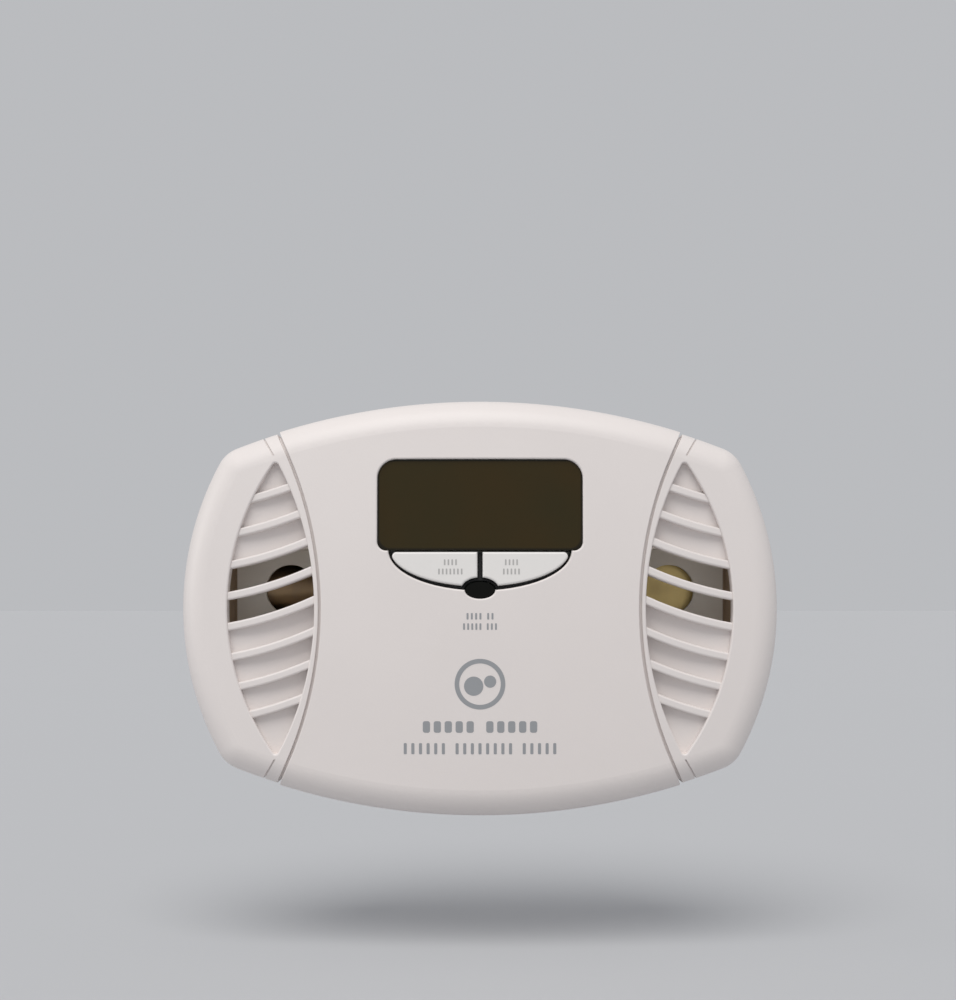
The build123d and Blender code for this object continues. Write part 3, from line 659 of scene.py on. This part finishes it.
@dataclass
class Print:
    """Thin marks laid on a surface that is given as a function of X and Z.

    The marks are first drawn flat, in the XZ plane. Laying them bends them onto the surface, and
    makes each one a closed film that starts just under the surface and stands just proud of it.
    """

    piece: Piece
    surface: Surface
    outward: float = -1.0
    sunk: float = 0.02 * MM
    proud: float = 0.02 * MM
    longest_face: float = 3 * MM

    def _upright(self, x: float, z: float, turn: float = 0.0) -> Matrix:
        """Return the placement that stands a flat mark up at an X and Z."""
        turned = Matrix.Rotation(turn, 4, "Y") @ Matrix.Rotation(math.pi / 2, 4, "X")
        return Matrix.Translation((x, 0.0, z)) @ turned

    def bar(self, x: float, z: float, width: float, height: float, corner: float) -> None:
        """Draw a bar with rounded corners.

        Args:
            x: The X of its middle.
            z: The Z of its middle.
            width: Its width.
            height: Its height.
            corner: Its corners' radius.
        """
        mesh = self.piece.mesh
        size = Matrix.Diagonal((width, height, 1.0, 1.0))
        columns = max(1, round(width / self.longest_face))
        made = bmesh.ops.create_grid(
            mesh, x_segments=columns, y_segments=1, size=0.5, matrix=size
        )
        corners = [v for v in made["verts"] if len(v.link_faces) == 1]
        known = set(mesh.verts) - set(corners)
        bmesh.ops.bevel(
            mesh, geom=corners, offset=corner, offset_type="OFFSET", affect="VERTICES",
            segments=3, profile=0.5, material=-1,
        )
        rounded = [v for v in mesh.verts if v not in known]
        verts = [v for v in made["verts"] if v.is_valid and v not in corners] + rounded
        bmesh.ops.transform(mesh, matrix=self._upright(x, z), verts=list(set(verts)))

    def disc(self, x: float, z: float, radius: float, sides: int = 40, turn: float = 0.0) -> None:
        """Draw a disc, or a regular polygon of a few sides."""
        placed = self._upright(x, z, turn)
        bmesh.ops.create_circle(
            self.piece.mesh, cap_ends=True, segments=sides, radius=radius, matrix=placed
        )

    def ring(self, x: float, z: float, outer: float, inner: float) -> None:
        """Draw a round ring."""
        mesh = self.piece.mesh
        placed = self._upright(x, z)
        made = bmesh.ops.create_circle(
            mesh, cap_ends=True, segments=64, radius=outer, matrix=placed
        )
        faces = list({f for v in made["verts"] for f in v.link_faces})
        bmesh.ops.inset_region(
            mesh, faces=faces, thickness=outer - inner, use_boundary=True, use_even_offset=True
        )
        bmesh.ops.delete(mesh, geom=faces, context="FACES_ONLY")

    def ticks(self, x: float, z: float, row: Row) -> None:
        """Draw a row of short upright ticks in groups, centred on an X and Z."""
        total = sum(row.counts) + row.space * (len(row.counts) - 1)
        at = x - total * row.cell / 2 + row.cell / 2
        width = row.cell * row.fill
        for count in row.counts:
            for _ in range(count):
                self.bar(at, z, width, row.height, min(width, row.height) * row.rounding)
                at += row.cell
            at += row.space * row.cell

    def lay(self) -> None:
        """Bend the marks onto the surface, give them their thickness and hand the piece over."""
        mesh = self.piece.mesh
        for vertex in mesh.verts:
            vertex.co.y = self.surface(vertex.co.x, vertex.co.z) - self.outward * self.sunk
        grown = bmesh.ops.extrude_face_region(mesh, geom=mesh.faces[:], use_keep_orig=True)
        raised = [v for v in grown["geom"] if isinstance(v, bmesh.types.BMVert)]
        shift = Vector((0.0, self.outward * (self.sunk + self.proud), 0.0))
        bmesh.ops.translate(mesh, vec=shift, verts=raised)
        self.piece.done()


# ---- finishes of this alarm ----------------------------------------------------------


FRONT_PLASTIC = Moulded("front_plastic", linear(226, 219, 216))
REAR_PLASTIC = Moulded(
    "rear_plastic", linear(222, 215, 210), roughness=0.5, grain_depth=0.02 * MM
)
BUTTON_PLASTIC = Moulded(
    "button_plastic", linear(230, 227, 224), roughness=0.36, grain_depth=0.006 * MM
)
# The second colour is painted shade round the window's recessed edge.
SMOKED_WINDOW = SmokedWindow("smoked_window", linear(48, 41, 19), linear(30, 26, 15))
# A near-black seal behind the gaps round the buttons and light: its colour is painted shade in
# those gaps.
GAP_SHADE_SEAL = Moulded(
    "seal_painted_shade", (0.012, 0.012, 0.012), roughness=0.6, grain_depth=0.004 * MM, mottle=0.1
)
SMOKED_LIGHT = Sheen(
    "smoked_light", (0.004, 0.004, 0.003), roughness=0.22, coat=0.0, specular=0.12
)
PLUG_RESIN = Moulded(
    "plug_resin", linear(205, 200, 190), roughness=0.38, grain_depth=0.006 * MM
)
BLADE_BRASS = Metal("blade_brass", (0.83, 0.74, 0.50), 0.2, Axis.Y)
ZINC_PLATE = Metal("zinc_plate", (0.55, 0.56, 0.58), 0.32, Axis.X, 3.0)
BOARD_LAMINATE = Laminate("board_laminate")
HOLDER_PLASTIC = Moulded("holder_plastic", linear(200, 200, 196), roughness=0.5)
DISPLAY_GLASS = Clear("display_glass", (0.30, 0.33, 0.24), 0.65)
MILKY_SHEET = Moulded("milky_sheet", linear(235, 238, 232), roughness=0.35, mottle=0.01)
CONDUCTIVE_STRIP = Wound("conductive_strip", (0.25, 0.25, 0.24), Axis.X, 0.2 * MM, 0.6)
BLACK_MOULDING = Moulded("black_moulding", (0.02, 0.02, 0.022), roughness=0.4, mottle=0.2)
PLUNGER_PLASTIC = Moulded("plunger_plastic", (0.06, 0.05, 0.045), roughness=0.35)
LED_EPOXY = Clear("led_epoxy", (0.75, 0.80, 0.72), 0.55)
CHIP_EPOXY = Moulded(
    "chip_epoxy", (0.018, 0.018, 0.02), roughness=0.55, grain=0.2 * MM, mottle=0.3
)
CHIP_CERAMIC = Moulded("chip_ceramic", (0.09, 0.07, 0.05), roughness=0.4, mottle=0.3)
# Both chambers get painted shade in brown on their outer side walls.
SHADED_CHAMBER = WallShaded("chamber_painted_shade", linear(249, 243, 233), (0.44, 0.32, 0.22))
SENSOR_PLATE = Metal(
    "sensor_plate", linear(176, 150, 118), 0.38, Axis.X, 12.0, tarnished=0.3
)
NICKEL_PLATE = Metal("nickel_plate", (0.60, 0.58, 0.53), 0.25, Axis.Z, 8.0)
HORN_PLASTIC = Moulded("horn_plastic", (0.025, 0.025, 0.027), roughness=0.35, mottle=0.2)
BRASS_SHEET = Metal("brass_sheet", (0.72, 0.55, 0.24), 0.28, Axis.X, 20.0)
SILVERED_CERAMIC = Metal("silvered_ceramic", (0.72, 0.71, 0.66), 0.5, Axis.Z, 2.0)
RED_INSULATION = Sheen("red_insulation", (0.42, 0.02, 0.02), 0.35, coat=0.0)
BLACK_INSULATION = Sheen("black_insulation", (0.02, 0.02, 0.02), 0.35, coat=0.0)
WHITE_INSULATION = Sheen("white_insulation", (0.70, 0.70, 0.68), 0.35, coat=0.0)
FERRITE = Ferrite("ferrite")
WINDING_TAPE = Wound("winding_tape", (0.72, 0.52, 0.06), Axis.Z, 1.6 * MM)
COPPER_TURNS = Wound("copper_turns", (0.55, 0.22, 0.08), Axis.Y, 0.35 * MM, 0.25, 0.8)
FILM_CAPACITOR = Sheen("film_capacitor", (0.50, 0.16, 0.02), 0.3)
CAPACITOR_SLEEVE = Banded(
    "capacitor_sleeve", Axis.Y, ((-0.0085, (0.62, 0.63, 0.65)),), (0.01, 0.02, 0.06)
)
VARISTOR_EPOXY = Sheen("varistor_epoxy", (0.03, 0.10, 0.32), 0.3)
FUSE_GLASS = Banded("fuse_glass", Axis.X, (), (0.55, 0.57, 0.55), 0.1, (-0.0108, -0.0052))
DIODE_BODY = Banded(
    "diode_body",
    Axis.Z,
    ((0.0292, (0.55, 0.55, 0.56)), (0.0298, (0.02, 0.02, 0.02))),
    (0.02, 0.02, 0.02),
)
SLEEVE_GREY: Colour = (0.50, 0.51, 0.52)
SLEEVE_BLUE: Colour = (0.03, 0.10, 0.22)
UPPER_CELL_SLEEVE = Banded(
    "upper_cell_sleeve",
    Axis.X,
    ((0.0150, SLEEVE_BLUE), (0.0185, SLEEVE_GREY)),
    SLEEVE_GREY,
    0.28,
    (-0.0226, 0.0258),
)
LOWER_CELL_SLEEVE = Banded(
    "lower_cell_sleeve",
    Axis.X,
    ((-0.0185, SLEEVE_BLUE), (-0.0150, SLEEVE_GREY)),
    SLEEVE_GREY,
    0.28,
    (-0.0258, 0.0226),
)
LABEL_FILM = Moulded(
    "label_film", linear(232, 232, 228), roughness=0.3, grain_depth=0.003 * MM, mottle=0.01
)
GREY_INK = Moulded(
    "grey_ink", linear(150, 152, 155), roughness=0.4, grain_depth=0.002 * MM, mottle=0.01
)
PALE_INK = Moulded(
    "pale_ink", linear(178, 176, 174), roughness=0.4, grain_depth=0.002 * MM, mottle=0.01
)


# ---- sub-assemblies -------------------------------------------------------------------


class Workshop:
    """Makes each finish once, gives it to CAD nodes, and starts printed marks.

    Args:
        nodes: The frame's nodes by name.
    """

    def __init__(self, nodes: dict[str, bpy.types.Object]) -> None:
        """Keep the nodes, and remember which are dressed."""
        self.nodes = nodes
        self.dressed: set[str] = set()
        self.made: dict[str, bpy.types.Material] = {}

    def material(self, finish: Finish) -> bpy.types.Material:
        """Return a finish's material, built on its first use."""
        if finish.name not in self.made:
            self.made[finish.name] = finish.make()
        return self.made[finish.name]

    def dress(self, finish: Finish, *names: str) -> None:
        """Put a finish on every material slot of the named nodes.

        Args:
            finish: The finish.
            *names: The nodes' names.
        """
        material = self.material(finish)
        for name in names:
            piece = self.nodes[name]
            if not piece.data.materials:
                piece.data.materials.append(material)
            for slot in piece.material_slots:
                slot.material = material
            self.dressed.add(name)
            LOG.info("node %s: %s", name, material.name)

    def mark(
        self,
        name: str,
        surface: Surface,
        ink: Finish = GREY_INK,
        body: str = "alarm",
        slot: str = "label",
        **depths: float,
    ) -> Print:
        """Start a piece of thin marks.

        Args:
            name: The piece's name.
            surface: The surface that it lies on.
            ink: Its finish.
            body: The body that it rides on.
            slot: The record's material slot; it is not used.
            **depths: The print's side and depths, where they aren't the usual ones.

        Returns:
            The print, ready to be drawn on.
        """
        return Print(Piece(name, body, self.material(ink), slot), surface, **depths)

    def missing(self) -> list[str]:
        """Return the nodes that have no finish yet."""
        return sorted(set(self.nodes) - self.dressed)


@dataclass
class FrontShell:
    """The front shell, and the marks on its raised panel."""

    crown: float = 430.0 * MM
    depth: float = 40.0 * MM
    panel_step: float = 0.35 * MM
    badge_z: float = -17.6 * MM
    badge_radius: float = 5.9 * MM
    badge_hole: float = 0.82
    lines: tuple[tuple[float, Row], ...] = (
        (-27.6 * MM, Row((5, 5), 2.55 * MM, 2.7 * MM, 0.66)),
        (-32.7 * MM, Row((6, 8, 5), 1.78 * MM, 2.6 * MM, 0.4)),
        (-1.8 * MM, Row((4, 2), 1.0 * MM, 1.5 * MM, 0.45)),
        (-4.2 * MM, Row((5, 3), 0.95 * MM, 1.5 * MM, 0.45)),
    )

    def sphere(self, proud: float) -> Surface:
        """Return a surface that stands proud of the crown by a distance."""
        centre = self.crown - self.depth

        def at(x: float, z: float) -> float:
            """Return the sphere's Y at an X and Z."""
            return centre - math.sqrt((self.crown + proud) ** 2 - x * x - z * z)

        return at

    def badge(self, shop: Workshop) -> None:
        """Print a plain round badge: a ring round two discs."""
        mark = shop.mark("print_badge", self.sphere(self.panel_step))
        radius = self.badge_radius
        mark.ring(0.0, self.badge_z, radius, radius * self.badge_hole)
        mark.disc(-0.25 * radius, self.badge_z - 0.08 * radius, radius * 0.38)
        mark.disc(0.40 * radius, self.badge_z + 0.10 * radius, radius * 0.24)
        mark.lay()

    def build(self, shop: Workshop) -> None:
        """Dress the shell and print its panel."""
        shop.dress(FRONT_PLASTIC, "front_cover")
        self.badge(shop)
        mark = shop.mark("print_panel_lines", self.sphere(self.panel_step))
        for z, row in self.lines:
            mark.ticks(0.0, z, row)
        mark.lay()


@dataclass
class Controls:
    """The two push buttons with their marks, switches, seal and light."""

    shell: FrontShell
    cap_step: float = 0.15 * MM
    row_heights: tuple[float, float] = (10.75 * MM, 8.6 * MM)
    cell: float = 0.88 * MM
    tick_height: float = 1.35 * MM
    fill: float = 0.42

    def caption(
        self, shop: Workshop, name: str, body: str, x: float, counts: Sequence[int]
    ) -> None:
        """Print two short rows of ticks on a button.

        Args:
            shop: The workshop.
            name: The piece's name.
            body: The button's body.
            x: The X of the rows' middle.
            counts: The number of ticks in each row.
        """
        surface = self.shell.sphere(self.shell.panel_step + self.cap_step)
        mark = shop.mark(name, surface, PALE_INK, body)
        for z, count in zip(self.row_heights, counts):
            mark.ticks(x, z, Row((count,), self.cell, self.tick_height, self.fill))
        mark.lay()

    def build(self, shop: Workshop) -> None:
        """Dress the controls and print the caps."""
        shop.dress(BUTTON_PLASTIC, "test_silence_button", "peak_level_button")
        # The seal's near-black is painted shade in the gaps round the caps and light.
        shop.dress(GAP_SHADE_SEAL, "button_seal")
        shop.dress(SMOKED_LIGHT, "indicator_lens")
        shop.dress(LED_EPOXY, "status_led")
        shop.dress(BLACK_MOULDING, "test_switch_body", "peak_switch_body")
        shop.dress(PLUNGER_PLASTIC, "test_switch_plunger", "peak_switch_plunger")
        self.caption(shop, "print_test_mark", "test_button", -6.9 * MM, (4, 7))
        self.caption(shop, "print_peak_mark", "peak_button", 7.3 * MM, (4, 5))


class Display:
    """The tinted window and the display behind it."""

    def build(self, shop: Workshop) -> None:
        """Dress the display."""
        shop.dress(SMOKED_WINDOW, "display_lens")
        shop.dress(HOLDER_PLASTIC, "display_holder")
        shop.dress(DISPLAY_GLASS, "lcd_glass")
        shop.dress(MILKY_SHEET, "lcd_backlight")
        shop.dress(CONDUCTIVE_STRIP, "zebra_strip")


def flat(y: float) -> Surface:
    """Return a flat surface at a Y."""
    return lambda x, z: y


@dataclass
class RearShell:
    """The rear shell, its screws, and the two labels with their marks."""

    table_rows: int = 6
    table_top: float = 3.2 * MM
    table_pitch: float = 3.9 * MM
    table_margin: float = 2.4 * MM
    table_counts: tuple[int, int] = (5, 7)
    line: float = 0.16 * MM
    rule_drop: float = 1.9 * MM
    rule_corner: float = 0.05 * MM
    words_shift: float = 2.0 * MM
    words: tuple[float, float, float] = (1.1 * MM, 1.1 * MM, 0.5)
    value_shift: float = 7.2 * MM
    value: tuple[float, float, float] = (3.4 * MM, 1.1 * MM, 0.25 * MM)
    frame_line: float = 0.2 * MM
    frame_corner: float = 0.06 * MM
    frame_width: float = 15.0 * MM
    frame_rise: float = 2.6 * MM
    frame_reach: float = 7.5 * MM
    frame_side: float = 5.4 * MM
    divider: float = 5.2 * MM
    heading_rise: float = 4.6 * MM
    heading: Row = Row((4, 6), 1.1 * MM, 1.2 * MM, 0.5)

    def rating(self, shop: Workshop) -> None:
        """Print a ruled table without words on the rating label."""
        low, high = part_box("rating_label")
        mark = shop.mark("print_rating", flat(high.y), outward=1.0)
        x = (low.x + high.x) / 2
        width = high.x - low.x - self.table_margin
        for index in range(self.table_rows):
            z = high.z - self.table_top - self.table_pitch * index
            count = self.table_counts[index % 2]
            mark.bar(x, z - self.rule_drop, width, self.line, self.rule_corner)
            mark.ticks(x + self.words_shift, z, Row((count,), *self.words))
            mark.bar(x - self.value_shift, z, *self.value)
        mark.lay()

    def date(self, shop: Workshop) -> None:
        """Print a blank date box on the small label."""
        low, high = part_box("date_label")
        mark = shop.mark("print_date", flat(high.y), outward=1.0)
        x, z = (low.x + high.x) / 2, (low.z + high.z) / 2
        line, corner = self.frame_line, self.frame_corner
        for step in (-1, 1):
            mark.bar(x, z + step * self.frame_rise, self.frame_width, line, corner)
            mark.bar(x + step * self.frame_reach, z, line, self.frame_side, corner)
        mark.ticks(x, z + self.heading_rise, self.heading)
        mark.bar(x, z, line, self.divider, corner)
        mark.lay()

    def build(self, shop: Workshop) -> None:
        """Dress the shell and print its labels."""
        shop.dress(REAR_PLASTIC, "rear_housing")
        shop.dress(ZINC_PLATE, "case_screws", "board_screws")
        shop.dress(LABEL_FILM, "rating_label", "date_label")
        self.rating(shop)
        self.date(shop)


@dataclass
class BatteryBay:
    """The battery door with its arrow, the cells and their contacts."""

    arrow_rise: float = 15.0 * MM
    arrow_radius: float = 2.6 * MM
    arrow_proud: float = 0.12 * MM
    stem: tuple[float, float, float] = (1.6 * MM, 4.0 * MM, 0.3 * MM)
    stem_rise: float = 3.4 * MM

    def arrow(self, shop: Workshop) -> None:
        """Raise an arrow on the door that points to its free edge."""
        low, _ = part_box("battery_door")
        mark = shop.mark(
            "door_arrow", flat(0.0), body="battery_door", slot="door",
            outward=1.0, proud=self.arrow_proud,
        )
        z = low.z + self.arrow_rise
        mark.disc(0.0, z, self.arrow_radius, sides=3, turn=math.pi)
        mark.bar(0.0, z + self.stem_rise, *self.stem)
        mark.lay()

    def build(self, shop: Workshop) -> None:
        """Dress the bay and mark its door."""
        shop.dress(REAR_PLASTIC, "battery_door")
        shop.dress(UPPER_CELL_SLEEVE, "upper_cell")
        shop.dress(LOWER_CELL_SLEEVE, "lower_cell")
        shop.dress(NICKEL_PLATE, "bridge_contact", "positive_contact", "negative_contact")
        self.arrow(shop)


class Plug:
    """The plug's insert and blades, and the wires from them."""

    def build(self, shop: Workshop) -> None:
        """Dress the plug."""
        shop.dress(PLUG_RESIN, "plug_insert")
        shop.dress(BLADE_BRASS, "neutral_blade", "line_blade")
        shop.dress(WHITE_INSULATION, "neutral_wire")
        shop.dress(BLACK_INSULATION, "line_wire")


class Electronics:
    """The circuit board and the parts on it."""

    def build(self, shop: Workshop) -> None:
        """Dress the board."""
        shop.dress(BOARD_LAMINATE, "circuit_board")
        shop.dress(CHIP_EPOXY, "microcontroller", "driver_chip")
        shop.dress(CHIP_CERAMIC, "chip_components")
        shop.dress(FERRITE, "transformer_core")
        shop.dress(WINDING_TAPE, "transformer_bobbin")
        shop.dress(COPPER_TURNS, "boost_inductor")
        shop.dress(FILM_CAPACITOR, "film_capacitor")
        shop.dress(CAPACITOR_SLEEVE, "electrolytic_capacitors")
        shop.dress(VARISTOR_EPOXY, "varistor")
        shop.dress(FUSE_GLASS, "fuse")
        shop.dress(DIODE_BODY, "rectifier_diodes")


class SensorBay:
    """The gas sensor behind the left grille, and its chamber."""

    def build(self, shop: Workshop) -> None:
        """Dress the sensor."""
        shop.dress(SHADED_CHAMBER, "sensor_chamber")
        shop.dress(SENSOR_PLATE, "sensor_can")
        shop.dress(BLACK_MOULDING, "sensor_cap")
        shop.dress(NICKEL_PLATE, "sensor_leads")


class Horn:
    """The sounder behind the right grille, and its chamber."""

    def build(self, shop: Workshop) -> None:
        """Dress the horn."""
        shop.dress(SHADED_CHAMBER, "horn_chamber")
        shop.dress(HORN_PLASTIC, "horn_body")
        shop.dress(BRASS_SHEET, "horn_disc")
        shop.dress(SILVERED_CERAMIC, "horn_ceramic")
        shop.dress(RED_INSULATION, "horn_wires")


@dataclass(frozen=True)
class Sun:
    """A distant soft light.

    Args:
        name: The light's name.
        azimuth: Its direction from the front, in degrees.
        elevation: Its height above the horizon, in degrees.
        softness: How wide the source looks, in degrees.
        power: Its irradiance in watts per square metre.
    """

    name: str
    azimuth: float
    elevation: float
    softness: float
    power: float


@dataclass
class Studio:
    """The floor, the lights and the camera."""

    low: Vector
    floor_drop: float = 32.0 * MM
    floor_half: float = 60.0
    sky: Colour = (0.95, 0.965, 1.0)
    sky_level: float = 0.52
    sunlight: Colour = (1.0, 0.985, 0.96)
    suns: tuple[Sun, ...] = (
        Sun("key_light", -10.0, 56.0, 45.0, 1.9),
        Sun("rim_light", -84.0, 12.0, 25.0, 0.45),
    )
    camera_distance: float = 0.440
    focal_length: float = 61.9
    sensor_width: float = 36.0
    shift: tuple[float, float] = (-0.002, 0.1085)

    def floor(self) -> None:
        """Lay a wide pale floor under the object."""
        graph = Graph("studio_floor")
        cloud = graph.noise(0.4, 2.0)
        material = graph.finish(
            base_color=graph.mix(cloud, (0.487, 0.494, 0.510), (0.495, 0.502, 0.518)),
            roughness=0.7 + cloud * 0.05,
        )
        mesh = bmesh.new()
        level = Matrix.Translation((0, 0, self.low.z - self.floor_drop))
        bmesh.ops.create_grid(
            mesh, x_segments=1, y_segments=1, size=self.floor_half, matrix=level
        )
        data = bpy.data.meshes.new("studio_floor")
        mesh.to_mesh(data)
        mesh.free()
        data.materials.append(material)
        ground = bpy.data.objects.new("studio_floor", data)
        bpy.context.scene.collection.objects.link(ground)
        ground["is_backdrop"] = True

    def world(self) -> None:
        """Fill the surroundings with a pale even light."""
        world = bpy.data.worlds.new("studio")
        world.use_nodes = True
        background = world.node_tree.nodes["Background"]
        background.inputs["Color"].default_value = (*self.sky, 1.0)
        background.inputs["Strength"].default_value = self.sky_level
        bpy.context.scene.world = world

    def shine(self, sun: Sun) -> None:
        """Add one sun."""
        light = bpy.data.lights.new(sun.name, "SUN")
        light.energy = sun.power
        light.angle = math.radians(sun.softness)
        light.color = self.sunlight
        lamp = bpy.data.objects.new(sun.name, light)
        tilt = math.pi / 2 - math.radians(sun.elevation)
        lamp.rotation_euler = (tilt, 0.0, math.radians(sun.azimuth))
        bpy.context.scene.collection.objects.link(lamp)

    def camera(self) -> None:
        """Set the camera straight in front of the object's middle."""
        lens = bpy.data.cameras.new("camera")
        lens.lens = self.focal_length
        lens.sensor_width = self.sensor_width
        lens.shift_x, lens.shift_y = self.shift
        lens.clip_start = 0.01
        camera = bpy.data.objects.new("camera", lens)
        camera.location = (0.0, -self.camera_distance, 0.0)
        camera.rotation_euler = (math.pi / 2, 0.0, 0.0)
        bpy.context.scene.collection.objects.link(camera)
        bpy.context.scene.camera = camera

    def build(self) -> None:
        """Make the whole studio."""
        self.floor()
        self.world()
        for sun in self.suns:
            self.shine(sun)
        self.camera()
        bpy.context.scene.view_settings.view_transform = "Standard"


def main() -> None:
    """Load the frame, then build every sub-assembly and the studio."""
    logging.basicConfig(level=logging.INFO, format="%(name)s: %(message)s")
    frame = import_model()
    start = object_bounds()
    Studio(start[0]).build()
    shop = Workshop(frame["nodes"])
    shell = FrontShell()
    parts = (
        shell, Controls(shell), Display(), RearShell(), BatteryBay(), Plug(), Electronics(),
        SensorBay(), Horn(),
    )
    for part in parts:
        LOG.info("building %s", type(part).__name__)
        part.build(shop)
    LOG.info("nodes without a finish: %s", shop.missing())


if __name__ == "__main__":
    main()
